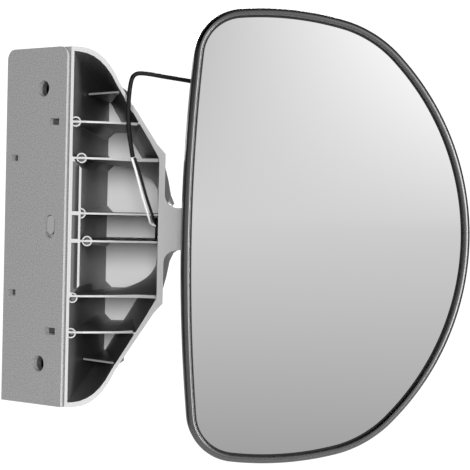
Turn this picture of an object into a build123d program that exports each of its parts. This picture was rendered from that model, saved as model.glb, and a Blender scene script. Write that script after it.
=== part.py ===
"""Heated convex kerb mirror for a heavy vehicle: ribbed bracket, ball joint and D-shaped mirror head.

All sizes are in millimetres. The mounting face is the plane X = 0 and the vehicle is on its -X side.
The origin is midway between the two bolt holes and +Z is up. The bracket's open face and the mirror
share a second frame, turned about Z: x runs out along the open face, y is up, z points at the driver.
"""
from build123d import *
from math import cos, pi, radians, sin, tan
import os

os.makedirs("parts", exist_ok=True)

# ---- driving dimensions, mm -------------------------------------------------------------------
pad_width = 53.0
pad_height = 209.0
pad_thick = 3.0
pad_corner = 6.0
edge_to_bolts = 20.0
bolt_spacing = 161.0
bolt_hole_r = 4.75
slot_width = 8.6
slot_height = 13.5
slot_from_edge = 12.4
clip_near = (10.5, 61.0, 9.0, 4.0)
clip_far = (45.2, 40.0, 6.6, 3.8)
face_angle = 48.0
wall = 3.6
rib_front = 1.1
rib_back = 2.2
rib_levels = (8.0, 40.0, 61.0)
fan_level = 79.0
cavity_depth = 110.0
front_right = 58.0
neck_half = 12.3
neck_front = 1.0
neck_back = 25.0
neck_bore = 4.5
ball_u = 136.0
ball_r = 10.0
liner_thick = 2.0
running = 0.05
gap = 0.3
head_u = 149.2
head_v = -2.7
glass_r = 1200.0
glass_apex = 36.0
glass_thick = 3.0
rim_band = 4.4
rim_wall = 1.8
rim_back = 19.0
shell_back = 14.0
shell_wall = 2.2
stud_flange_r = 16.0
socket_r = 20.0
clamp_reach = 16.5
passage_depth = 16.0
seal_thick = 0.6
stud_flange = 3.0
stem_r = 5.0
screw_r = 1.6
wire_r = 0.8
sheath_r = 1.3

# ---- frames -----------------------------------------------------------------------------------
turn = radians(face_angle)
face = Plane(
    origin=(0, -edge_to_bolts, 0),
    x_dir=(sin(turn), -cos(turn), 0),
    z_dir=(-cos(turn), -sin(turn), 0),
)
mount_plane = Plane(origin=(0, 0, 0), x_dir=(0, 1, 0), z_dir=(1, 0, 0))
plan = Plane(origin=face.origin, x_dir=face.x_dir, z_dir=(0, 0, 1))
head_face = face.shift_origin(face.from_local_coords(Vector(head_u, head_v, 0)))
passage_plane = Plane(
    origin=face.from_local_coords(Vector(46.0, 0, -passage_depth)),
    x_dir=(0, 0, 1),
    z_dir=face.x_dir,
)
ball_face = face.shift_origin(face.from_local_coords(Vector(ball_u, 0, 0)))


def mirrored(points):
    """Return the outline flipped top to bottom."""
    return [(u, -v) for u, v in points]


def thread_line(p, q, v):
    """Return the u at height v on the line through p and q."""
    return p[0] + (q[0] - p[0]) * (v - p[1]) / (q[1] - p[1])


# ---- bracket outlines in the open-face frame (u, v) --------------------------------------------
half = pad_height / 2


def bend(start, pull, end, count=7):
    """Return points of the quadratic curve from start to end that leaves towards pull."""
    points = []
    for step in range(count):
        t = step / (count - 1)
        u = (1 - t) ** 2 * start[0] + 2 * t * (1 - t) * pull[0] + t * t * end[0]
        v = (1 - t) ** 2 * start[1] + 2 * t * (1 - t) * pull[1] + t * t * end[1]
        points.append((u, v))
    return points


back_top = [(26.7, 80.0), (51.0, 39.5), (57.0, 30.5), (59.7, 20.0)]
outer_front = [(2.3, half)] + bend((8.0, half - 0.3), (22.0, half - 0.9), (31.2, 82.7))
outer_front += [(53.0, 49.0), (front_right, 43.5)]
outer_back = [(26.7, 84.5)] + bend((27.5, 84.3), (31.0, 82.8), (34.5, 76.0)) + [(55.0, 41.0), (63.3, 27.0)]
root_near = [(50.0, 19.0), (58.0, 19.0), (58.6, 16.8), (60.0, 14.6), (62.6, 12.9), (66.0, neck_half)]
root_far = [(50.0, 43.5), (58.5, 43.5), (62.2, 29.4), (64.0, 20.0), (66.2, 15.0), (70.0, neck_half)]
root_end = [(50.0, 26.0), (60.0, 26.0), (61.0, 20.0), (61.5, 16.0), (62.0, 14.0), (62.6, neck_half)]
slope_a = (27.0, half - 18.5)
slope_b = (50.3, 48.0)
side_in = front_right - wall

cell_depth = cavity_depth
half_front = rib_front / 2
half_back = rib_back / 2
lo, mid, hi = rib_levels


def cell_front(low, high, chamfer, left_low, left_high, jog):
    """Return the front outline of the pocket between two rib levels."""
    right = []
    for v in (low, (low + high) / 2, high):
        u = side_in if v < 43.5 else min(side_in, thread_line(slope_a, slope_b, v))
        right.append((u, v))
    return [(left_low, low + chamfer), (left_low + chamfer, low)] + right + [
        (left_high + chamfer, high),
        (left_high, high - chamfer),
        (left_low, jog),
    ]


def cell_back(low, high, chamfer):
    """Return the floor outline of the pocket between two rib levels."""
    right = []
    for v in (low, (low + high) / 2, high):
        if v <= 20.0:
            u = back_top[3][0]
        elif v <= 30.5:
            u = thread_line(back_top[3], back_top[2], v)
        elif v <= 39.5:
            u = thread_line(back_top[2], back_top[1], v)
        else:
            u = thread_line(back_top[1], back_top[0], v)
        right.append((u, v))
    left = back_top[0][0]
    return [(left, low + chamfer), (left + chamfer, low)] + right + [
        (left + chamfer, high),
        (left, high - chamfer),
        (left, (low + high) / 2 + 5.0),
    ]


with BuildPart() as pockets:
    for sign in (1, -1):
        for low, high, left_low, left_high, jog in ((lo, mid, 9.4, 5.0, 34.0), (mid, hi, 3.9, 3.9, 54.0)):
            front = cell_front(low + half_front, high - half_front, 0.5, left_low, left_high, jog)
            back = cell_back(low + half_back, high - half_back, 4.0)
            with BuildSketch(face.offset(0.5)) as front_outline:
                Polygon([(u, sign * v) for u, v in front])
            with BuildSketch(face.offset(-cell_depth)) as back_outline:
                Polygon([(u, sign * v) for u, v in back])
            loft(ruled=True)
        low = hi + half_front
        front = [(3.9, low), (thread_line(slope_a, slope_b, low), low)]
        front += [(thread_line(slope_a, slope_b, 75.0), 75.0)]
        front += bend((29.0, 82.7), (20.5, half - 3.8), (6.5, half - 2.8)) + [(3.9, half - 2.7)]
        low = hi + half_back
        back = [(26.7, low), (thread_line(back_top[1], back_top[0], low), low)]
        back += [(29.6, 75.2)] + bend((29.3, 75.7), (28.0, 78.2), (27.1, 79.4)) + [(26.7, 80.0)]
        with BuildSketch(face.offset(0.5)) as front_outline:
            Polygon([(u, sign * v) for u, v in front])
        with BuildSketch(face.offset(-cell_depth)) as back_outline:
            Polygon([(u, sign * v) for u, v in back])
        loft(ruled=True)
    low = lo - half_front
    with BuildSketch(face.offset(0.5)) as front_outline:
        Polygon([(9.4, -low), (side_in, -low), (side_in, low), (9.4, low)])
    low = lo - half_back
    with BuildSketch(face.offset(-cell_depth)) as back_outline:
        Polygon([(26.7, -low), (59.7, -low), (59.7, low), (26.7, low)])
    loft(ruled=True)

# hollow between the base wall and the web, ribbed at the same levels
base_in = pad_thick + wall
hollow_mid = [(-29.0, 41.5), (1.0, 8.2), (9.0, 9.0), (24.6, 108.0)]
hollow_end = [(-29.0, 41.5), (2.4, 6.6), (3.4, 9.0), (24.6, 108.0)]
with BuildPart() as hollows:
    for sign in (1, -1):
        for low, high, outline in ((lo, 34.0, hollow_mid), (34.0, mid, hollow_end), (mid, hi, hollow_end)):
            start = low + (half_back if low != 34.0 else -0.5)
            stop = high - (half_back if high != 34.0 else 0.0)
            with BuildSketch(plan.offset(sign * start)) as hollow_outline:
                Polygon(outline)
            extrude(amount=sign * (stop - start))
        with BuildSketch(plan.offset(sign * (hi + half_back))) as hollow_outline:
            Polygon(hollow_end)
        extrude(amount=sign * (half - 3.0 - hi - half_back))
    with BuildSketch(plan.offset(-lo + half_back)) as hollow_outline:
        Polygon(hollow_mid)
    extrude(amount=2 * (lo - half_back))

with BuildPart() as hollow_limit:
    with BuildSketch(mount_plane) as near_limit:
        Rectangle(400, 2 * (half - 2.4))
    with BuildSketch(mount_plane.offset(100)) as far_limit:
        Rectangle(400, 2 * 80.5)
    loft(ruled=True)
wedge_space = hollows.part & hollow_limit.part

# ---- bracket housing --------------------------------------------------------------------------
clip_set = []
for from_edge, level, width, height in (clip_near, clip_far):
    clip_set.append((from_edge - edge_to_bolts, level, width, height))
    clip_set.append((from_edge - edge_to_bolts, -level, width, height))

with BuildPart() as bracket_housing:
    with BuildSketch(face) as front_outline:
        Polygon(outer_front + mirrored(outer_front)[::-1])
    with BuildSketch(face.offset(-cavity_depth - 3.0)) as back_outline:
        Polygon(outer_back + mirrored(outer_back)[::-1])
    loft(ruled=True)
    with BuildSketch(mount_plane.offset(pad_thick)) as near_outline:
        with Locations((pad_width / 2 - edge_to_bolts, 0)):
            Rectangle(pad_width, pad_height)
    with BuildSketch(mount_plane.offset(92.0)) as far_outline:
        with Locations((35.0, 0)):
            Rectangle(22.0, 2 * 84.5)
    loft(ruled=True)
    # neck arm and the round socket at its end
    with BuildSketch(face.offset(-(neck_front + neck_back) / 2)) as arm_outline:
        with Locations(((front_right + ball_u) / 2, 0)):
            Rectangle(ball_u - front_right + 4.0, 2 * neck_half)
    extrude(amount=(neck_back - neck_front) / 2, both=True)
    with BuildSketch(face.offset(4.0)) as socket_outline:
        with Locations((ball_u, 0)):
            Circle(socket_r)
    extrude(amount=-(4.0 + neck_back))
    # flared root of the neck
    with BuildSketch(face) as root_front:
        Polygon(root_near + mirrored(root_near)[::-1])
    with BuildSketch(face.offset(-45.0)) as root_back:
        Polygon(root_far + mirrored(root_far)[::-1])
    loft(ruled=True)
    with BuildSketch(face.offset(-45.0)) as tail_front:
        Polygon(root_far + mirrored(root_far)[::-1])
    with BuildSketch(face.offset(-cavity_depth)) as tail_back:
        Polygon(root_end + mirrored(root_end)[::-1])
    loft(ruled=True)
    add(pockets.part, mode=Mode.SUBTRACT)
    add(wedge_space, mode=Mode.SUBTRACT)
    # screw bosses where the ribs meet the web
    for u, v, depth in ((5.7, 61.0, 30.0), (9.4, 40.0, 30.0), (9.6, 8.0, 30.0), (13.5, -8.0, 30.0),
                        (5.7, -41.0, 30.0), (5.2, -61.5, 30.0)):
        with BuildSketch(face.offset(-1.0)) as boss_outline:
            with Locations((u, v)):
                Circle(3.0)
        extrude(amount=-depth)
        with BuildSketch(face.offset(-1.0)) as boss_hole:
            with Locations((u, v)):
                Circle(2.2)
        extrude(amount=-12.0, mode=Mode.SUBTRACT)
    # mark of an ejector pin on the floor
    with BuildSketch(face.offset(-cavity_depth - 0.5)) as pin_mark:
        with Locations((42.2, -2.0)):
            Circle(4.4)
            Circle(3.3, mode=Mode.SUBTRACT)
    extrude(amount=0.9)
    # lug that locates the pad
    with BuildSketch(mount_plane.offset(0.8)) as lug_outline:
        with Locations((slot_from_edge - edge_to_bolts, 0.8)):
            SlotOverall(slot_height - 2.6, slot_width - 2.4, rotation=90)
    extrude(amount=pad_thick)
    # clip slots through the base wall
    with BuildSketch(mount_plane) as clip_outline:
        for y, z, width, height in clip_set:
            with Locations((y, z)):
                Rectangle(width - 0.8, height - 0.6)
    extrude(amount=base_in + 1.0, mode=Mode.SUBTRACT)
    # the base wall's square-cut edge, sunk between the middle rib ends
    for low, high in ((lo, mid - 1.0), (-lo, lo), (1.0 - mid, -lo)):
        with BuildSketch(plan.offset(low + half_back)) as edge_outline:
            Polygon((4.4, -1.0), (4.4, 0.2), (8.2, 3.8), (8.2, -1.0))
        extrude(amount=high - low - 2 * half_back, mode=Mode.SUBTRACT)
    # bolt holes
    with BuildSketch(mount_plane) as bolt_holes:
        with Locations((0, bolt_spacing / 2), (0, -bolt_spacing / 2)):
            Circle(bolt_hole_r)
    extrude(amount=base_in + 1.0, mode=Mode.SUBTRACT)
    # wire passage along the neck and the socket's pocket
    with BuildSketch(passage_plane) as passage_outline:
        Circle(neck_bore)
    extrude(amount=ball_u - 46.0, mode=Mode.SUBTRACT)
    with BuildSketch(ball_face.offset(5.0)) as pocket_outline:
        Circle(13.0)
    extrude(amount=-18.65, mode=Mode.SUBTRACT)
    with BuildSketch(ball_face.offset(5.0)) as well_outline:
        Circle(9.0)
    extrude(amount=-26.0, mode=Mode.SUBTRACT)
    with BuildSketch(ball_face.offset(5.0)) as clamp_holes:
        with PolarLocations(clamp_reach, 4, start_angle=45):
            Circle(screw_r + 0.2)
    extrude(amount=-14.0, mode=Mode.SUBTRACT)
    # rib edges fall back towards the outer wall and leave a way for the lead
    for level, right in ((lo, side_in), (mid, side_in), (hi, 41.5)):
        for sign in (1, -1):
            with BuildSketch(plan.offset(sign * (level - 1.2))) as rib_cut:
                Polygon((12.0, -1.0), (12.0, 0.3), (right - 0.1, 8.0), (right - 0.1, -1.0))
            extrude(amount=sign * 2.4, mode=Mode.SUBTRACT)
    # low fanned ribs in the end pockets
    for sign in (1, -1):
        with BuildSketch(plan.offset(sign * fan_level)) as fan_outline:
            Polygon((13.0, 40.0), (31.3, 12.0), (31.3, 40.0), (29.4, cavity_depth), (24.0, cavity_depth))
        extrude(amount=sign * rib_front)
    # notch for the lead in the rim
    with BuildSketch(face.offset(0.5)) as notch_outline:
        with Locations((36.2, 75.0)):
            Rectangle(4.6, 15.0)
    extrude(amount=-5.0, mode=Mode.SUBTRACT)
bracket_housing.part.label = "bracket_housing"
export_step(bracket_housing.part, "parts/bracket_housing.step")

# ---- mounting pad -----------------------------------------------------------------------------
with BuildPart() as mounting_pad:
    with BuildSketch(mount_plane) as pad_outline:
        with Locations((pad_width / 2 - edge_to_bolts, 0)):
            Rectangle(pad_width, pad_height)
        far_corners = pad_outline.vertices().group_by(Axis.Y)[-1]
        fillet(far_corners, pad_corner)
        with Locations((0, bolt_spacing / 2), (0, -bolt_spacing / 2)):
            Circle(bolt_hole_r, mode=Mode.SUBTRACT)
        with Locations((slot_from_edge - edge_to_bolts, 0)):
            SlotOverall(slot_height, slot_width, rotation=90, mode=Mode.SUBTRACT)
        for y, z, width, height in clip_set:
            with Locations((y, z)):
                Rectangle(width, height, mode=Mode.SUBTRACT)
    extrude(amount=pad_thick)
mounting_pad.part.label = "mounting_pad"
export_step(mounting_pad.part, "parts/mounting_pad.step")

# ---- ball joint -------------------------------------------------------------------------------
liner_r = ball_r + running + liner_thick
with BuildPart() as socket_liner:
    with Locations(ball_face):
        Sphere(liner_r)
        Sphere(ball_r + running, mode=Mode.SUBTRACT)
    with BuildSketch(ball_face.offset(5.6)) as liner_mouth:
        Circle(20.0)
    extrude(amount=20.0, mode=Mode.SUBTRACT)
    with BuildSketch(ball_face.offset(-8.5)) as liner_back:
        Circle(20.0)
    extrude(amount=-20.0, mode=Mode.SUBTRACT)
socket_liner.part.label = "socket_liner"
export_step(socket_liner.part, "parts/socket_liner.step")

# the cup fills the round pocket between the liner and the neck
with BuildPart() as socket_cup:
    with BuildSketch(ball_face.offset(1.9)) as cup_outline:
        Circle(13.0 - running)
    extrude(amount=-13.4)
    with Locations(ball_face):
        Sphere(liner_r + running, mode=Mode.SUBTRACT)
    with BuildSketch(ball_face.offset(-12.0)) as cup_bore:
        Circle(6.0)
    extrude(amount=6.0, mode=Mode.SUBTRACT)
socket_cup.part.label = "socket_cup"
export_step(socket_cup.part, "parts/socket_cup.step")

with BuildPart() as preload_washer:
    with BuildSketch(ball_face.offset(-11.6)) as washer_outline:
        Circle(12.6)
        Circle(6.5, mode=Mode.SUBTRACT)
    extrude(amount=-2.0)
    with BuildSketch(ball_face.offset(-11.6)) as washer_recess:
        Circle(10.5)
        Circle(8.0, mode=Mode.SUBTRACT)
    extrude(amount=-0.8, mode=Mode.SUBTRACT)
preload_washer.part.label = "preload_washer"
export_step(preload_washer.part, "parts/preload_washer.step")

with BuildPart() as clamp_ring:
    with BuildSketch(ball_face.offset(4.05)) as ring_outline:
        Circle(socket_r)
    extrude(amount=3.25)
    with Locations(ball_face):
        Sphere(liner_r + running, mode=Mode.SUBTRACT)
    with BuildSketch(ball_face.offset(4.0)) as ring_holes:
        with PolarLocations(clamp_reach, 4, start_angle=45):
            Circle(screw_r + 0.2)
    extrude(amount=4.0, mode=Mode.SUBTRACT)
    with BuildSketch(ball_face.offset(5.8)) as ring_recesses:
        with PolarLocations(clamp_reach, 4, start_angle=45):
            Circle(2.7)
    extrude(amount=2.0, mode=Mode.SUBTRACT)
clamp_ring.part.label = "clamp_ring"
export_step(clamp_ring.part, "parts/clamp_ring.step")

with BuildPart() as clamp_screws:
    with BuildSketch(ball_face.offset(5.85)) as screw_heads:
        with PolarLocations(clamp_reach, 4, start_angle=45):
            Circle(2.5)
    extrude(amount=1.3)
    with BuildSketch(ball_face.offset(5.85)) as screw_shanks:
        with PolarLocations(clamp_reach, 4, start_angle=45):
            Circle(screw_r)
    extrude(amount=-13.0)
clamp_screws.part.label = "clamp_screws"
export_step(clamp_screws.part, "parts/clamp_screws.step")

with BuildPart() as ball_stud:
    with Locations(ball_face):
        Sphere(ball_r)
    with BuildSketch(ball_face) as stem_outline:
        Circle(stem_r)
    extrude(amount=shell_back - 1.0)
    with BuildSketch(ball_face.offset(shell_back)) as flange_outline:
        Circle(stud_flange_r)
    extrude(amount=-stud_flange)
    with BuildSketch(ball_face.offset(shell_back + 1.0)) as lead_bore:
        Circle(2.6)
    extrude(amount=-40.0, mode=Mode.SUBTRACT)
    with BuildSketch(ball_face.offset(shell_back + 1.0)) as flange_holes:
        with PolarLocations(11.5, 4):
            Circle(screw_r + 0.2)
    extrude(amount=-stud_flange - 2.0, mode=Mode.SUBTRACT)
ball_stud.part.label = "ball_stud"
export_step(ball_stud.part, "parts/ball_stud.step")

with BuildPart() as flange_screws:
    with BuildSketch(ball_face.offset(shell_back + shell_wall + 0.02)) as flange_heads:
        with PolarLocations(11.5, 4):
            Circle(2.8)
    extrude(amount=1.5)
    with BuildSketch(ball_face.offset(shell_back + shell_wall + 0.02)) as flange_shanks:
        with PolarLocations(11.5, 4):
            Circle(screw_r)
    extrude(amount=-shell_wall - stud_flange + 0.2)
flange_screws.part.label = "flange_screws"
export_step(flange_screws.part, "parts/flange_screws.step")

# ---- mirror head ------------------------------------------------------------------------------
with BuildSketch() as head_outline:
    with BuildLine() as head_line:
        ThreePointArc((-77.5, -103.5), (-82.6, 0.0), (-77.5, 103.5))
        ThreePointArc((-77.5, 103.5), (-69.6, 120.4), (-52.7, 128.6))
        ThreePointArc((-52.7, 128.6), (-20.9, 128.7), (10.3, 123.0))
        ThreePointArc((10.3, 123.0), (27.2, 115.1), (41.3, 103.0))
        ThreePointArc((41.3, 103.0), (81.9, 0.0), (41.3, -103.0))
        ThreePointArc((41.3, -103.0), (27.2, -115.1), (10.3, -123.0))
        ThreePointArc((10.3, -123.0), (-20.9, -128.7), (-52.7, -128.6))
        ThreePointArc((-52.7, -128.6), (-69.6, -120.4), (-77.5, -103.5))
    make_face()
outline = head_outline.sketch
lip_edge = offset(outline, amount=-rim_band)
seal_edge = offset(outline, amount=-rim_band - 0.9)
pocket_edge = offset(outline, amount=-rim_wall)
glass_edge = offset(outline, amount=-rim_wall - gap)
carrier_edge = offset(outline, amount=-rim_wall - 1.5)
heater_edge = offset(outline, amount=-12.0)
shell_inner = offset(outline, amount=-rim_wall - gap - shell_wall)
back_edge = offset(outline, amount=-24.0)
back_inner = offset(outline, amount=-24.0 - shell_wall)
bowl = head_face.offset(glass_apex - glass_r)


def placed(shape, depth):
    """Return an outline moved to a plane in front of the open face."""
    return head_face.offset(depth).location * shape


with BuildPart() as mirror_glass:
    extrude(placed(glass_edge, 10.0), amount=60.0, dir=head_face.z_dir)
    with Locations(bowl):
        Sphere(glass_r, mode=Mode.INTERSECT)
        Sphere(glass_r - glass_thick, mode=Mode.SUBTRACT)
mirror_glass.part.label = "mirror_glass"
export_step(mirror_glass.part, "parts/mirror_glass.step")

with BuildPart() as rim_seal:
    extrude(placed(glass_edge, 10.0), amount=60.0, dir=head_face.z_dir)
    extrude(placed(seal_edge, 9.0), amount=70.0, dir=head_face.z_dir, mode=Mode.SUBTRACT)
    with Locations(bowl):
        Sphere(glass_r + seal_thick, mode=Mode.INTERSECT)
        Sphere(glass_r + 0.02, mode=Mode.SUBTRACT)
rim_seal.part.label = "rim_seal"
export_step(rim_seal.part, "parts/rim_seal.step")

with BuildPart() as heater_film:
    extrude(placed(heater_edge, 10.0), amount=60.0, dir=head_face.z_dir)
    with Locations(bowl):
        Sphere(glass_r - glass_thick - 0.02, mode=Mode.INTERSECT)
        Sphere(glass_r - glass_thick - 0.5, mode=Mode.SUBTRACT)
heater_film.part.label = "heater_film"
export_step(heater_film.part, "parts/heater_film.step")

posts = ((-45.0, 62.0), (-45.0, -62.0), (36.0, 52.0), (36.0, -52.0))
with BuildPart() as glass_carrier:
    extrude(placed(carrier_edge, 10.0), amount=60.0, dir=head_face.z_dir)
    with Locations(bowl):
        Sphere(glass_r - glass_thick - 0.52, mode=Mode.INTERSECT)
        Sphere(glass_r - glass_thick - 2.6, mode=Mode.SUBTRACT)
    with BuildSketch(head_face.offset(shell_back + shell_wall + 0.05)) as post_outline:
        with Locations(*posts):
            Circle(3.6)
    extrude(amount=12.5)
    with BuildSketch(head_face.offset(shell_back + shell_wall)) as post_holes:
        with Locations(*posts):
            Circle(screw_r + 0.2)
    extrude(amount=9.0, mode=Mode.SUBTRACT)
    with BuildSketch(head_face.offset(10.0)) as terminal_window:
        with Locations((ball_u - head_u, 26.0)):
            Rectangle(24.0, 14.0)
    extrude(amount=40.0, mode=Mode.SUBTRACT)
glass_carrier.part.label = "glass_carrier"
export_step(glass_carrier.part, "parts/glass_carrier.step")

with BuildPart() as bezel_space:
    extrude(placed(pocket_edge, 0.0), amount=60.0, dir=head_face.z_dir)
    with Locations(bowl):
        Sphere(glass_r + seal_thick + 0.02, mode=Mode.INTERSECT)

with BuildPart() as rim_bezel:
    extrude(placed(outline, rim_back), amount=50.0, dir=head_face.z_dir)
    with Locations(bowl):
        Sphere(glass_r + seal_thick + 1.6, mode=Mode.INTERSECT)
    extrude(placed(lip_edge, 0.0), amount=90.0, dir=head_face.z_dir, mode=Mode.SUBTRACT)
    add(bezel_space.part, mode=Mode.SUBTRACT)
rim_bezel.part.label = "rim_bezel"
export_step(rim_bezel.part, "parts/rim_bezel.step")

with BuildPart() as shell_space:
    add(placed(shell_inner, rim_back + 0.01))
    add(placed(back_inner, shell_back + shell_wall))
    loft(ruled=True)
    extrude(placed(shell_inner, rim_back), amount=20.0, dir=head_face.z_dir)

with BuildPart() as head_shell:
    add(placed(glass_edge, rim_back))
    add(placed(back_edge, shell_back))
    loft(ruled=True)
    extrude(placed(glass_edge, rim_back), amount=2.6, dir=head_face.z_dir)
    add(shell_space.part, mode=Mode.SUBTRACT)
    with BuildSketch(ball_face.offset(shell_back - 1.0)) as shell_holes:
        Circle(3.0)
        with PolarLocations(11.5, 4):
            Circle(screw_r + 0.2)
    extrude(amount=6.0, mode=Mode.SUBTRACT)
    with BuildSketch(head_face.offset(shell_back - 1.0)) as post_screw_holes:
        with Locations(*posts):
            Circle(screw_r + 0.2)
    extrude(amount=6.0, mode=Mode.SUBTRACT)
head_shell.part.label = "head_shell"
export_step(head_shell.part, "parts/head_shell.step")

with BuildPart() as shell_screws:
    with BuildSketch(head_face.offset(shell_back - 0.02)) as post_heads:
        with Locations(*posts):
            Circle(3.0)
    extrude(amount=-1.6)
    with BuildSketch(head_face.offset(shell_back - 0.02)) as post_shanks:
        with Locations(*posts):
            Circle(screw_r)
    extrude(amount=10.0)
shell_screws.part.label = "shell_screws"
export_step(shell_screws.part, "parts/shell_screws.step")

terminal_u = ball_u - head_u
terminal_z = glass_apex - glass_thick - 1.3
with BuildPart() as heater_terminals:
    for x in (-5.0, 5.0):
        with BuildSketch(head_face.offset(terminal_z)) as terminal_foot:
            with Locations((terminal_u + x, 26.0)):
                Rectangle(6.3, 8.0)
        extrude(amount=-0.8)
        with BuildSketch(head_face.offset(terminal_z)) as terminal_blade:
            with Locations((terminal_u + x, 26.0)):
                Rectangle(6.3, 0.8)
        extrude(amount=-8.0)
heater_terminals.part.label = "heater_terminals"
export_step(heater_terminals.part, "parts/heater_terminals.step")


def route(points, shift=(0, 0, 0)):
    """Return points of the open-face frame (u, v, w behind the face) as points in space."""
    moved = []
    for u, v, w in points:
        moved.append(face.from_local_coords(Vector(u + shift[0], v + shift[1], -w - shift[2])))
    return moved


def bend_radius(points):
    """Return the largest fillet radius that leaves straight pieces between the bends."""
    best = 1000.0
    for a, b, c in zip(points, points[1:], points[2:]):
        first = b - a
        second = c - b
        angle = radians(first.get_angle(second))
        best = min(best, 0.45 * min(first.length, second.length) / tan(angle / 2))
    return best


heater_path = [(131.5, 21.0, -26.0), (133.0, 10.0, -22.0), (135.0, 0.0, -17.0), (135.0, 0.0, 12.0)]
with BuildPart() as heater_leads:
    for offset_u in (0.0, 2.0):
        path_points = route(heater_path, (offset_u, 0, 0))
        with BuildLine() as heater_line:
            FilletPolyline(*path_points, radius=bend_radius(path_points))
        with BuildSketch(heater_line.line ^ 0) as heater_section:
            Circle(wire_r)
        sweep(path=heater_line.line)
heater_leads.part.label = "heater_leads"
export_step(heater_leads.part, "parts/heater_leads.step")

# ---- lead -------------------------------------------------------------------------------------
with BuildPart() as lead_grommet:
    grommet_plane = passage_plane.offset(53.7 - 46.0)
    with BuildSketch(grommet_plane) as grommet_flange:
        Circle(6.2)
    extrude(amount=1.0)
    with BuildSketch(grommet_plane) as grommet_body:
        Circle(neck_bore - 0.05)
    extrude(amount=9.0)
    with BuildSketch(grommet_plane) as grommet_holes:
        SlotOverall(8.4, 6.4, rotation=90)
    extrude(amount=9.0, mode=Mode.SUBTRACT)
lead_grommet.part.label = "lead_grommet"
export_step(lead_grommet.part, "parts/lead_grommet.step")

white_path = [(135.0, 0.0, 17.4), (96.0, 0.6, 16.8), (51.5, 0.0, 17.4), (48.8, 8.0, 4.5), (45.0, 19.0, 3.2),
              (41.8, 31.0, 2.8), (38.5, 41.0, 2.8)]
black_path = [(137.0, 0.0, 14.6), (96.0, -0.6, 14.2), (54.2, 0.0, 14.6), (51.2, 8.0, 4.8), (47.2, 19.0, 3.8),
              (43.7, 31.0, 3.2), (40.1, 41.0, 3.0)]
sheath_path = [(39.1, 41.3, 2.8), (36.6, 53.0, 2.5), (35.6, 68.0, 2.2), (36.6, 84.2, 2.0), (38.8, 89.8, 2.0),
               (45.0, 90.3, 3.0), (58.0, 88.4, 5.0),
               (76.0, 86.4, 9.0), (93.0, 82.0, 12.0), (95.0, 60.0, 13.0), (95.0, 46.3, 13.0)]
for name, points in (("white", white_path), ("black", black_path), ("sheath", sheath_path)):
    print(name, "bend radius", round(bend_radius(route(points)), 2), "mm")

with BuildPart() as white_wire:
    with BuildLine() as white_line:
        FilletPolyline(*route(white_path), radius=bend_radius(route(white_path)))
    with BuildSketch(white_line.line ^ 0) as white_section:
        Circle(wire_r)
    sweep(path=white_line.line)
white_wire.part.label = "white_wire"
export_step(white_wire.part, "parts/white_wire.step")

with BuildPart() as black_wire:
    with BuildLine() as black_line:
        FilletPolyline(*route(black_path), radius=bend_radius(route(black_path)))
    with BuildSketch(black_line.line ^ 0) as black_section:
        Circle(wire_r)
    sweep(path=black_line.line)
black_wire.part.label = "black_wire"
export_step(black_wire.part, "parts/black_wire.step")

with BuildPart() as lead_sheath:
    with BuildLine() as sheath_line:
        FilletPolyline(*route(sheath_path), radius=bend_radius(route(sheath_path)))
    with BuildSketch(sheath_line.line ^ 0) as sheath_section:
        Circle(sheath_r)
    sweep(path=sheath_line.line)
lead_sheath.part.label = "lead_sheath"
export_step(lead_sheath.part, "parts/lead_sheath.step")
for name, tube, line, radius in (
    ("white wire", white_wire, white_line, wire_r),
    ("black wire", black_wire, black_line, wire_r),
    ("sheath", lead_sheath, sheath_line, sheath_r),
):
    length = sum(edge.length for edge in line.edges())
    ratio = tube.part.volume / (pi * radius**2 * length)
    print(name, "length", round(length, 1), "volume ratio", round(ratio, 4))

plug_plane = Plane(origin=route([(95.0, 46.2, 13.0)])[0], x_dir=face.x_dir, z_dir=(0, 0, -1))
with BuildPart() as lead_connector:
    with BuildSketch(plug_plane) as plug_outline:
        RectangleRounded(13.0, 8.0, 1.2)
    extrude(amount=20.0)
    with BuildSketch(plug_plane.offset(21.0)) as plug_mouth:
        RectangleRounded(10.2, 5.2, 0.6)
    extrude(amount=-9.0, mode=Mode.SUBTRACT)
    with BuildSketch(plug_plane.offset(5.0)) as latch_outline:
        with Locations((0, 4.6)):
            Rectangle(4.0, 1.4)
    extrude(amount=8.0)
lead_connector.part.label = "lead_connector"
export_step(lead_connector.part, "parts/lead_connector.step")

with BuildPart() as connector_pins:
    with BuildSketch(plug_plane.offset(12.05)) as pin_outline:
        with Locations((2.5, 0), (-2.5, 0)):
            Rectangle(2.8, 0.8)
    extrude(amount=6.0)
connector_pins.part.label = "connector_pins"
export_step(connector_pins.part, "parts/connector_pins.step")
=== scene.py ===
import math

import bpy
import numpy as np
from bpy.props import FloatProperty, PointerProperty
from mathutils import Matrix, Vector


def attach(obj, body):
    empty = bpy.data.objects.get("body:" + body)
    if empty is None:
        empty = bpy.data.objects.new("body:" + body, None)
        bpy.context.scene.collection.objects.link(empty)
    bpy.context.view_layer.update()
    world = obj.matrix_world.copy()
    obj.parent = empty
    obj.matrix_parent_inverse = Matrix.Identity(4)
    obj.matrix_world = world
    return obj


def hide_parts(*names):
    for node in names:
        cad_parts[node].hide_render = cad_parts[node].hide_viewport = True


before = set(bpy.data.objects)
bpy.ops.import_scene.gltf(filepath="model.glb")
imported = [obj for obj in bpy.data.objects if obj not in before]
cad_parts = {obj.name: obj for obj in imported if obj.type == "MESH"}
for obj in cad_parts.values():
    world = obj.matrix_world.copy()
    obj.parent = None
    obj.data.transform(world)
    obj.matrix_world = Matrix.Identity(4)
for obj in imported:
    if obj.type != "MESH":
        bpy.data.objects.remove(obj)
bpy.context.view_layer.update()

bl_info = {
    "name": "Convex kerb mirror",
    "version": (1, 0, 0),
    "blender": (4, 5, 0),
    "location": "View3D > Sidebar > Mirror",
    "description": "Builds the looks and the studio of a convex kerb mirror around its CAD frame",
    "category": "Object",
}

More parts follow.
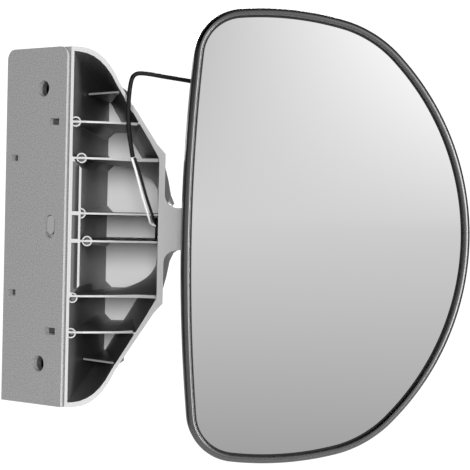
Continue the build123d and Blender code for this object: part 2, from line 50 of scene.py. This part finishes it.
MM = 0.001
FACE_TURN = math.radians(48.0)
SIDE = Vector((math.sin(FACE_TURN), -math.cos(FACE_TURN), 0.0))
DEEP = Vector((math.cos(FACE_TURN), math.sin(FACE_TURN), 0.0))
CORNER = Vector((0.0, -20.0 * MM, 0.0))


def face_point(u, v, w):
    """Return the row-frame point at u along the open face, v up and w behind it, all in mm."""
    return CORNER + SIDE * (u * MM) + Vector((0, 0, v * MM)) + DEEP * (w * MM)


def face_points(uvw):
    """Return an array of row-frame points for an array of (u, v, w) in mm."""
    uvw = np.asarray(uvw, float) * MM
    basis = np.array([SIDE, (0.0, 0.0, 1.0), DEEP])
    return np.array(CORNER) + uvw @ basis


def linear(hex_colour):
    """Return the linear RGBA of an sRGB hex colour."""
    values = [int(hex_colour[i:i + 2], 16) / 255.0 for i in (1, 3, 5)]
    out = [c / 12.92 if c <= 0.04045 else ((c + 0.055) / 1.055) ** 2.4 for c in values]
    return (*out, 1.0)


def node(tree, kind, inputs=None, **settings):
    """Add a shader node, set its settings and fill or link its inputs."""
    made = tree.nodes.new(kind)
    for key, value in settings.items():
        setattr(made, key, value)
    for key, value in (inputs or {}).items():
        if isinstance(value, bpy.types.NodeSocket):
            tree.links.new(value, made.inputs[key])
        else:
            made.inputs[key].default_value = value
    return made


def new_material(name, colour, roughness, metallic=0.0, **more):
    """Return a material and its tree with one principled shader set to plain values."""
    made = bpy.data.materials.new(name)
    made.use_nodes = True
    tree = made.node_tree
    shader = tree.nodes["Principled BSDF"]
    shader.inputs["Base Color"].default_value = linear(colour)
    shader.inputs["Roughness"].default_value = roughness
    shader.inputs["Metallic"].default_value = metallic
    for key, value in more.items():
        shader.inputs[key.replace("_", " ")].default_value = value
    return made, tree, shader


def grain(tree, shader, scale_mm, height_mm, detail=3.0):
    """Give a shader a fine grain: noise of the given size drives a bump."""
    place = node(tree, "ShaderNodeTexCoord")
    noise = node(tree, "ShaderNodeTexNoise", {"Vector": place.outputs["Object"],
                                              "Scale": 1.0 / (scale_mm * MM), "Detail": detail})
    bump = node(tree, "ShaderNodeBump", {"Height": noise.outputs["Fac"],
                                         "Distance": height_mm * MM, "Strength": 1.0})
    tree.links.new(bump.outputs["Normal"], shader.inputs["Normal"])
    return place


def tint(tree, shader, place, scale_mm, low, high):
    """Mix two colours with soft noise as the base colour."""
    noise = node(tree, "ShaderNodeTexNoise", {"Vector": place.outputs["Object"],
                                              "Scale": 1.0 / (scale_mm * MM), "Detail": 4.0})
    mix = node(tree, "ShaderNodeMix", {"Factor": noise.outputs["Fac"]}, data_type="RGBA")
    mix.inputs["A"].default_value = linear(low)
    mix.inputs["B"].default_value = linear(high)
    tree.links.new(mix.outputs["Result"], shader.inputs["Base Color"])


def facing(tree, normal, direction, start, full):
    """Return a 0 to 1 share that grows as a normal or a place goes from start to full along a direction."""
    along = node(tree, "ShaderNodeVectorMath", {0: normal, 1: direction}, operation="DOT_PRODUCT")
    limits = {"Value": along.outputs["Value"], "From Min": start, "From Max": full}
    return node(tree, "ShaderNodeMapRange", limits).outputs[0]


def cast_with_painted_light():
    """Return the bracket's material: a light satin grey with a fine grain, with painted shade on the walls.

    The base colour follows the part, not the real surface: faces that look out of the open side or off the
    mounting side get painted light, walls get painted shade, and the painted light grows with depth in the
    cavity. It stands in for a hard frontal light that this studio doesn't have.
    """
    made, tree, shader = new_material("cast", "#c8c8c8", 0.42, 0.1)
    grain(tree, shader, 0.6, 0.02)
    # painted light on faces that look out of the open side or off the mounting side
    normal = node(tree, "ShaderNodeNewGeometry").outputs["True Normal"]
    painted_light_out = facing(tree, normal, (-DEEP)[:], 0.72, 0.96)
    painted_light_mount = facing(tree, normal, (-1.0, 0.0, 0.0), 0.9, 0.98)
    share = node(tree, "ShaderNodeMath", {0: painted_light_out, 1: painted_light_mount}, operation="MAXIMUM").outputs[0]
    # painted light that grows with depth in the cavity, from #b2b2b2 to #f6f6f6
    place = node(tree, "ShaderNodeTexCoord").outputs["Object"]
    far = facing(tree, place, DEEP[:], 20.0 * MM, 80.0 * MM)
    light = node(tree, "ShaderNodeMix", {"Factor": far}, data_type="RGBA")
    light.inputs["A"].default_value = linear("#b2b2b2")
    light.inputs["B"].default_value = linear("#f6f6f6")
    # 585858 is painted shade on the walls; the painted light goes on the faces picked by the masks
    mix = node(tree, "ShaderNodeMix", {"Factor": share, "B": light.outputs["Result"]}, data_type="RGBA")
    mix.inputs["A"].default_value = linear("#585858")
    tree.links.new(mix.outputs["Result"], shader.inputs["Base Color"])
    return made


def mesh_object(name, vertices, faces, material, body, smooth=True):
    """Make a mesh object at the origin that rides on a CAD body."""
    mesh = bpy.data.meshes.new(name)
    mesh.from_pydata(np.asarray(vertices).tolist(), [], np.asarray(faces).tolist())
    mesh.polygons.foreach_set("use_smooth", [smooth] * len(mesh.polygons))
    mesh.update()
    made = bpy.data.objects.new(name, mesh)
    bpy.context.scene.collection.objects.link(made)
    made.data.materials.append(material)
    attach(made, body)
    return made


# the head's middle on the open face and its domed glass, mm
HEAD_U = 149.2
HEAD_V = -2.7
GLASS_R = 1200.0
GLASS_APEX = 36.0
# the head's D outline as arcs: start, a point between, end and how many points the arc gets
OUTLINE = (
    ((-77.5, -103.5), (-82.6, 0.0), (-77.5, 103.5), 60),
    ((-77.5, 103.5), (-69.6, 120.4), (-52.7, 128.6), 24),
    ((-52.7, 128.6), (-20.9, 128.7), (10.3, 123.0), 30),
    ((10.3, 123.0), (27.2, 115.1), (41.3, 103.0), 20),
    ((41.3, 103.0), (81.9, 0.0), (41.3, -103.0), 90),
    ((41.3, -103.0), (27.2, -115.1), (10.3, -123.0), 20),
    ((10.3, -123.0), (-20.9, -128.7), (-52.7, -128.6), 30),
    ((-52.7, -128.6), (-69.6, -120.4), (-77.5, -103.5), 24),
)


def arc_points(a, b, c, count):
    """Return count points from a towards c on the circle through a, b and c, leaving c out."""
    a, b, c = (np.array(p, float) for p in (a, b, c))
    system = 2.0 * np.array([b - a, c - a])
    centre = np.linalg.solve(system, [b @ b - a @ a, c @ c - a @ a])
    angles = [math.atan2(*(p - centre)[::-1]) for p in (a, b, c)]
    sweep = (angles[2] - angles[0]) % (2 * math.pi)
    if (angles[1] - angles[0]) % (2 * math.pi) > sweep:
        sweep -= 2 * math.pi
    turn = angles[0] + sweep * np.arange(count) / count
    return centre + np.linalg.norm(a - centre) * np.stack([np.cos(turn), np.sin(turn)], 1)


def head_ring():
    """Return the head's D outline and its inward normals, as closed rings of points in mm."""
    ring = np.concatenate([arc_points(*piece) for piece in OUTLINE])
    along = np.roll(ring, -1, 0) - np.roll(ring, 1, 0)
    along /= np.linalg.norm(along, axis=1)[:, None]
    inward = np.stack([along[:, 1], -along[:, 0]], 1)
    for _ in range(3):
        inward = (np.roll(inward, 1, 0) + inward + np.roll(inward, -1, 0)) / 3.0
    inward /= np.linalg.norm(inward, axis=1)[:, None]
    return ring, inward


def dome(p, q, lift=0.0):
    """Return the glass surface's height in front of the open face at (p, q), raised by lift."""
    return GLASS_APEX - GLASS_R + np.sqrt((GLASS_R + lift) ** 2 - p ** 2 - q ** 2)


def head_to_row(p, q, z):
    """Return row-frame points for head coordinates p along the open face, q up and z out of it, in mm."""
    return face_points(np.stack([p + HEAD_U, q + HEAD_V, -z], -1).reshape(-1, 3))


def band_faces(rows, columns):
    """Return quads joining rows of closed rings."""
    r, c = np.meshgrid(np.arange(rows - 1), np.arange(columns), indexing="ij")
    near = r * columns + c
    side = r * columns + (c + 1) % columns
    return np.stack([near, side, side + columns, near + columns], -1).reshape(-1, 4)


def swept_rim(profile):
    """Return the vertices and quads of a profile carried round the D outline.

    The profile lists (distance inward from the outline, lift above the glass, height or None): a point
    with no height rides on the domed glass surface, the others lie at that height.
    """
    ring, inward = head_ring()
    rows = []
    for inset, lift, height in profile:
        p, q = (ring + inward * inset).T
        z = dome(p, q, lift) if height is None else np.full(len(p), height)
        rows.append(head_to_row(p, q, z))
    faces = band_faces(len(profile) + 1, len(ring))
    faces %= len(profile) * len(ring)
    return np.concatenate(rows), faces


GLASS_THICK = 3.0
GLASS_INSET = 2.3
WIRE_R = 0.8
SHEATH_R = 1.3

# the floor disc, in metres but for its count of sides
FLOOR_X = 0.06
FLOOR_R = 1.1
FLOOR_SIDES = 96

# the lead's routes in the open-face frame (u, v, w), mm
WHITE_ROUTE = ((135, 0, 17.4), (96, 0.6, 16.8), (51.5, 0, 17.4), (48.8, 8, 4.5), (45, 19, 3.2),
               (41.8, 31, 2.8), (38.5, 41, 2.8))
BLACK_ROUTE = ((137, 0, 14.6), (96, -0.6, 14.2), (54.2, 0, 14.6), (51.2, 8, 4.8), (47.2, 19, 3.8),
               (43.7, 31, 3.2), (40.1, 41, 3.0))
SHEATH_ROUTE = ((39.1, 41.3, 2.8), (36.6, 53, 2.5), (35.6, 68, 2.2), (36.6, 84.2, 2.0), (38.8, 89.8, 2.0),
                (45, 90.3, 3.0), (58, 88.4, 5.0), (76, 86.4, 9), (93, 82, 12), (95, 60, 13), (95, 46.3, 13))


class MirrorLook(bpy.types.PropertyGroup):
    """Sizes and strengths the operators read."""

    lens: FloatProperty(name="Lens", description="Camera focal length", default=137.9, unit="CAMERA")
    roll: FloatProperty(name="Roll", description="Camera roll", default=math.radians(1.24), subtype="ANGLE")
    heading: FloatProperty(name="Heading", description="Look direction from +Y towards +X",
                           default=math.radians(47.1), subtype="ANGLE")
    dip: FloatProperty(name="Dip", description="Look direction below level",
                       default=math.radians(0.64), subtype="ANGLE")
    low_glow: FloatProperty(name="Low glow", description="Front light below the mirror", default=0.44)
    high_glow: FloatProperty(name="High glow", description="Front light above the mirror", default=0.775)
    side_glow: FloatProperty(name="Side glow", description="Front light's growth to the right and up",
                             default=6.0)
    backdrop: FloatProperty(name="Backdrop", description="Light behind the mirror", default=0.5)
    side_dark: FloatProperty(name="Sides", description="Light from the sides", default=0.045)
    sweep: FloatProperty(name="Sweep", description="Brightness of the white that the camera sees",
                         default=1.1)
    floor_level: FloatProperty(name="Floor level", description="Height of the floor",
                               default=-0.6, unit="LENGTH")
    key_power: FloatProperty(name="Key power", description="Power of the key light",
                             default=34.0, unit="POWER")
    fill_power: FloatProperty(name="Fill power", description="Power of the light behind the mirror",
                              default=60.0, unit="POWER")
    strip_power: FloatProperty(name="Strip power", description="Power of the rim's strip lights", default=5.0,
                               unit="POWER")
    key_heading: FloatProperty(name="Key heading", description="Where the key light shines, from +Y to +X",
                               default=math.radians(46.0), subtype="ANGLE")
    eye_x: FloatProperty(name="Eye X", description="Camera place along X", default=-0.695, unit="LENGTH")
    eye_y: FloatProperty(name="Eye Y", description="Camera place along Y", default=-0.801, unit="LENGTH")
    eye_z: FloatProperty(name="Eye Z", description="Camera height", default=0.009, unit="LENGTH")


class KERB_OT_materials(bpy.types.Operator):
    """Give every CAD node its material"""

    bl_idname = "kerb.materials"
    bl_label = "Node materials"

    def execute(self, context):
        """Build the materials and put them on the nodes."""
        # the bracket's material carries painted light and painted shade
        cast = cast_with_painted_light()
        # matt, with a bump and a speckle of two greys; both sizes are guesses
        pad, tree, shader = new_material("pad", "#a6a6a6", 0.8)
        place = grain(tree, shader, 0.9, 0.12)
        tint(tree, shader, place, 0.8, "#5c5c5c", "#cacaca")
        black = new_material("black_moulding", "#1a1a1a", 0.5)[0]
        gloss = new_material("rim_gloss", "#686868", 0.34, 0.95)[0]
        rubber = new_material("rubber", "#101010", 0.65)[0]
        zinc = new_material("zinc", "#b0b0ac", 0.3, 1.0)[0]
        brass = new_material("tinned", "#c8c6bc", 0.28, 1.0)[0]
        acetal = new_material("acetal", "#e6e4dc", 0.4)[0]
        film = new_material("film", "#202020", 0.35)[0]
        white = new_material("white_insulation", "#f2f2f2", 0.35)[0]
        dark = new_material("black_insulation", "#141414", 0.35)[0]
        sheath = new_material("sheath", "#0e0e0e", 0.45)[0]
        silver = new_material("silvered_glass", "#e8e8e8", 0.0, 1.0)[0]
        chosen = {
            "bracket_housing": cast, "mounting_pad": pad, "socket_liner": acetal, "socket_cup": zinc,
            "preload_washer": zinc, "clamp_ring": zinc, "clamp_screws": zinc, "ball_stud": zinc,
            "flange_screws": zinc, "mirror_glass": silver, "rim_seal": rubber, "heater_film": film,
            "glass_carrier": black, "rim_bezel": gloss, "head_shell": black, "shell_screws": zinc,
            "heater_terminals": brass, "heater_leads": dark, "lead_grommet": rubber, "white_wire": white,
            "black_wire": dark, "lead_sheath": sheath, "lead_connector": black, "connector_pins": brass,
        }
        for name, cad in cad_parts.items():
            cad.data.materials.clear()
            cad.data.materials.append(chosen[name])
        return {"FINISHED"}


class KERB_OT_glass(bpy.types.Operator):
    """Build the convex mirror glass as a smooth dome"""

    bl_idname = "kerb.glass"
    bl_label = "Mirror glass"

    def execute(self, context):
        """Scale the D outline from its middle to its edge and lift each ring onto the sphere."""
        ring, inward = head_ring()
        edge = ring + inward * GLASS_INSET
        middle = np.array([-4.0, 0.0])
        steps = np.linspace(1.0, 0.0, 61)[:-1]
        rows = [middle + (edge - middle) * s for s in steps]
        front = [head_to_row(r[:, 0], r[:, 1], dome(r[:, 0], r[:, 1])) for r in rows]
        back = [head_to_row(r[:, 0], r[:, 1], dome(r[:, 0], r[:, 1], -GLASS_THICK)) for r in rows[:1]]
        count = len(ring)
        vertices = np.concatenate(back + front + [head_to_row(*middle[:, None], dome(*middle[:, None]))])
        quads = band_faces(len(rows) + 1, count).tolist()
        last = len(rows) * count
        tip = len(vertices) - 1
        cap = [(last + i, last + (i + 1) % count, tip) for i in range(count)]
        mesh = bpy.data.meshes.new("glass_dome")
        mesh.from_pydata(vertices.tolist(), [], quads + cap)
        made = bpy.data.objects.new("glass_dome", mesh)
        context.scene.collection.objects.link(made)
        mesh.materials.append(bpy.data.materials["silvered_glass"])
        mesh.polygons.foreach_set("use_smooth", [True] * len(mesh.polygons))
        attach(made, "head")
        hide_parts("mirror_glass")
        return {"FINISHED"}


class KERB_OT_rim(bpy.types.Operator):
    """Build the rounded rim bead and the thin black seal beside the glass"""

    bl_idname = "kerb.rim"
    bl_label = "Rim"

    def execute(self, context):
        """Carry the bead's and the seal's sections round the D outline."""
        bead = [(4.4, 0.2, None), (4.3, 1.0, None), (4.0, 1.5, None), (3.6, 1.9, None), (3.0, 2.1, None),
                (2.2, 2.1, None), (1.5, 1.9, None), (0.9, 1.5, None), (0.4, 0.9, None), (0.1, 0.2, None),
                (0.0, -1.0, None), (0.0, 0, 20.2), (0.2, 0, 19.4), (0.7, 0, 19.0), (1.8, 0, 19.0),
                (1.8, 0, 24.0)]
        vertices, faces = swept_rim(bead)
        made = mesh_object("rim_bead", vertices, faces, bpy.data.materials["rim_gloss"], "head")
        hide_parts("rim_bezel")
        seal = [(5.4, 0.02, None), (5.3, 0.3, None), (5.0, 0.45, None), (4.6, 0.45, None), (3.6, 0.4, None),
                (3.6, 0.02, None)]
        vertices, faces = swept_rim(seal)
        made = mesh_object("rim_seal_lip", vertices, faces, bpy.data.materials["rubber"], "head")
        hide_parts("rim_seal")
        return {"FINISHED"}


class KERB_OT_lead(bpy.types.Operator):
    """Build the heater lead's two insulated wires and the sheath they end in; its hanging connector stays the
    CAD node
    """

    bl_idname = "kerb.lead"
    bl_label = "Heater lead"

    def execute(self, context):
        """Carry each wire and the sheath along its route as a curve with a round section."""
        runs = (
            ("white_wire_run", "white_wire", "white_insulation", WIRE_R, WHITE_ROUTE),
            ("black_wire_run", "black_wire", "black_insulation", WIRE_R, BLACK_ROUTE),
            ("sheath_run", "lead_sheath", "sheath", SHEATH_R, SHEATH_ROUTE),
        )
        for name, cad, finish, radius, path in runs:
            curve = bpy.data.curves.new(name, "CURVE")
            curve.dimensions = "3D"
            curve.bevel_depth = radius * MM
            curve.bevel_resolution = 4
            curve.resolution_u = 10
            curve.use_fill_caps = True
            points = face_points(path)
            spline = curve.splines.new("NURBS")
            spline.points.add(len(points) - 1)
            spline.points.foreach_set("co", np.c_[points, np.ones(len(points))].ravel())
            spline.order_u = 3
            spline.use_endpoint_u = True
            made = bpy.data.objects.new(name, curve)
            context.scene.collection.objects.link(made)
            curve.materials.append(bpy.data.materials[finish])
            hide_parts(cad)
            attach(made, "bracket")
        return {"FINISHED"}


class KERB_OT_stage(bpy.types.Operator):
    """Add the floor, the light and the camera"""

    bl_idname = "kerb.stage"
    bl_label = "Studio"

    def execute(self, context):
        """Build the pale floor, the soft lights, the gradient world and the camera."""
        look = context.scene.kerb_look
        floor_mat = new_material("floor", "#f4f4f4", 0.9)[0]
        turn = np.linspace(0.0, 2 * math.pi, FLOOR_SIDES + 1)[:-1]
        disc = np.stack([FLOOR_X + FLOOR_R * np.cos(turn), FLOOR_R * np.sin(turn),
                         np.full(FLOOR_SIDES, look.floor_level)], 1)
        mesh = bpy.data.meshes.new("floor")
        mesh.from_pydata(disc.tolist(), [], [tuple(range(FLOOR_SIDES))])
        floor = bpy.data.objects.new("floor", mesh)
        floor.data.materials.append(floor_mat)
        context.scene.collection.objects.link(floor)
        world = bpy.data.worlds.new("studio")
        context.scene.world = world
        world.use_nodes = True
        tree = world.node_tree
        back = tree.nodes["Background"]
        place = node(tree, "ShaderNodeTexCoord")
        # how far a direction points out of the open face, along it and up
        toward = node(tree, "ShaderNodeVectorMath", {0: place.outputs["Generated"], 1: (-DEEP)[:]},
                      operation="DOT_PRODUCT").outputs["Value"]
        aside = node(tree, "ShaderNodeVectorMath", {0: place.outputs["Generated"], 1: SIDE[:]},
                     operation="DOT_PRODUCT").outputs["Value"]
        height = node(tree, "ShaderNodeSeparateXYZ", {0: place.outputs["Generated"]}).outputs["Z"]
        front = node(tree, "ShaderNodeMapRange", {"Value": toward, "From Min": 0.35, "From Max": 0.85,
                                                  "To Min": 0.0, "To Max": 1.0}, clamp=True).outputs[0]
        level = node(tree, "ShaderNodeMapRange", {"Value": height, "From Min": -0.33, "From Max": 0.02,
                                                  "To Min": look.low_glow, "To Max": look.high_glow},
                     clamp=True).outputs[0]
        rise = node(tree, "ShaderNodeMath", {0: height, 1: 0.0}, operation="MAXIMUM").outputs[0]
        lean = node(tree, "ShaderNodeMath", {0: aside, 1: rise}, operation="MULTIPLY").outputs[0]
        lean = node(tree, "ShaderNodeMath", {0: lean, 1: look.side_glow}, operation="MULTIPLY").outputs[0]
        both = node(tree, "ShaderNodeMath", {0: level, 1: lean}, operation="ADD").outputs[0]
        behind = node(tree, "ShaderNodeMapRange", {"Value": toward, "From Min": -0.9, "From Max": -0.6,
                                                   "To Min": look.backdrop, "To Max": look.side_dark},
                      clamp=True).outputs[0]
        glow = node(tree, "ShaderNodeMix", {"Factor": front, "A": behind, "B": both}).outputs[0]
        # camera rays meet a plain white, and every other ray meets the gradient that lights the mirror
        seen = node(tree, "ShaderNodeLightPath").outputs["Is Camera Ray"]
        plain = node(tree, "ShaderNodeMix", {"Factor": seen, "A": glow, "B": look.sweep}).outputs[0]
        tree.links.new(plain, back.inputs["Strength"])
        back.inputs["Color"].default_value = (1, 1, 1, 1)
        key = bpy.data.lights.new("key", "AREA")
        key.shape = "DISK"
        key.size = 0.45
        key.energy = look.key_power
        lamp = bpy.data.objects.new("key", key)
        aim = face_point(40.0, 0.0, 40.0)
        place = aim + Vector((-math.sin(look.key_heading), -math.cos(look.key_heading), 0.08)) * 2.2
        lamp.location = place
        lamp.rotation_euler = (place - aim).to_track_quat("Z", "Y").to_euler()
        lamp.visible_glossy = False
        context.scene.collection.objects.link(lamp)
        fill = bpy.data.lights.new("back_fill", "AREA")
        fill.shape = "DISK"
        fill.size = 1.2
        fill.energy = look.fill_power
        lamp = bpy.data.objects.new("back_fill", fill)
        spot = face_point(90.0, 900.0, 2300.0)
        lamp.location = spot
        lamp.rotation_euler = (spot - aim).to_track_quat("Z", "Y").to_euler()
        context.scene.collection.objects.link(lamp)
        strips = (("strip_right", 1.3, 6.0 * look.strip_power), ("strip_left", -1.9, 0.5 * look.strip_power))
        for name, across, power in strips:
            strip = bpy.data.lights.new(name, "AREA")
            strip.shape = "RECTANGLE"
            strip.size = 0.5
            strip.size_y = 1.6
            strip.energy = power
            holder = bpy.data.objects.new(name, strip)
            middle = face_point(HEAD_U, 0.0, 0.0)
            spot = middle + SIDE * across - DEEP * 1.15
            holder.location = spot
            holder.rotation_euler = (spot - middle).to_track_quat("Z", "Y").to_euler()
            context.scene.collection.objects.link(holder)
        context.scene.view_settings.view_transform = "Standard"
        eye = Vector((look.eye_x, look.eye_y, look.eye_z))
        forward = Vector((math.sin(look.heading) * math.cos(look.dip),
                          math.cos(look.heading) * math.cos(look.dip), -math.sin(look.dip)))
        level = Vector((math.cos(look.heading), -math.sin(look.heading), 0.0))
        above = level.cross(forward)
        right = level * math.cos(look.roll) + above * math.sin(look.roll)
        up = above * math.cos(look.roll) - level * math.sin(look.roll)
        cam = bpy.data.cameras.new("camera")
        cam.lens = look.lens
        cam.sensor_width = 36.0
        cam.dof.use_dof = False
        holder = bpy.data.objects.new("camera", cam)
        holder.matrix_world = Matrix((
            (right.x, up.x, -forward.x, eye.x),
            (right.y, up.y, -forward.y, eye.y),
            (right.z, up.z, -forward.z, eye.z),
            (0, 0, 0, 1),
        ))
        context.scene.collection.objects.link(holder)
        context.scene.camera = holder
        return {"FINISHED"}


class KERB_PT_panel(bpy.types.Panel):
    """The add-on's panel"""

    bl_label = "Kerb mirror"
    bl_idname = "KERB_PT_panel"
    bl_space_type = "VIEW_3D"
    bl_region_type = "UI"
    bl_category = "Mirror"

    def draw(self, context):
        """Show the settings and the operators."""
        look = context.scene.kerb_look
        for name in MirrorLook.__annotations__:
            self.layout.prop(look, name)
        for kind in OPERATORS:
            self.layout.operator(kind.bl_idname)


OPERATORS = (KERB_OT_materials, KERB_OT_glass, KERB_OT_rim, KERB_OT_lead, KERB_OT_stage)
CLASSES = (MirrorLook, *OPERATORS, KERB_PT_panel)


def register():
    """Register the classes and the settings."""
    for kind in CLASSES:
        bpy.utils.register_class(kind)
    bpy.types.Scene.kerb_look = PointerProperty(type=MirrorLook)


def unregister():
    """Remove the settings and the classes."""
    del bpy.types.Scene.kerb_look
    for kind in reversed(CLASSES):
        bpy.utils.unregister_class(kind)


def main():
    """Run the operators in order."""
    register()
    bpy.ops.kerb.materials()
    bpy.ops.kerb.glass()
    bpy.ops.kerb.rim()
    bpy.ops.kerb.lead()
    bpy.ops.kerb.stage()


if __name__ == "__main__":
    main()
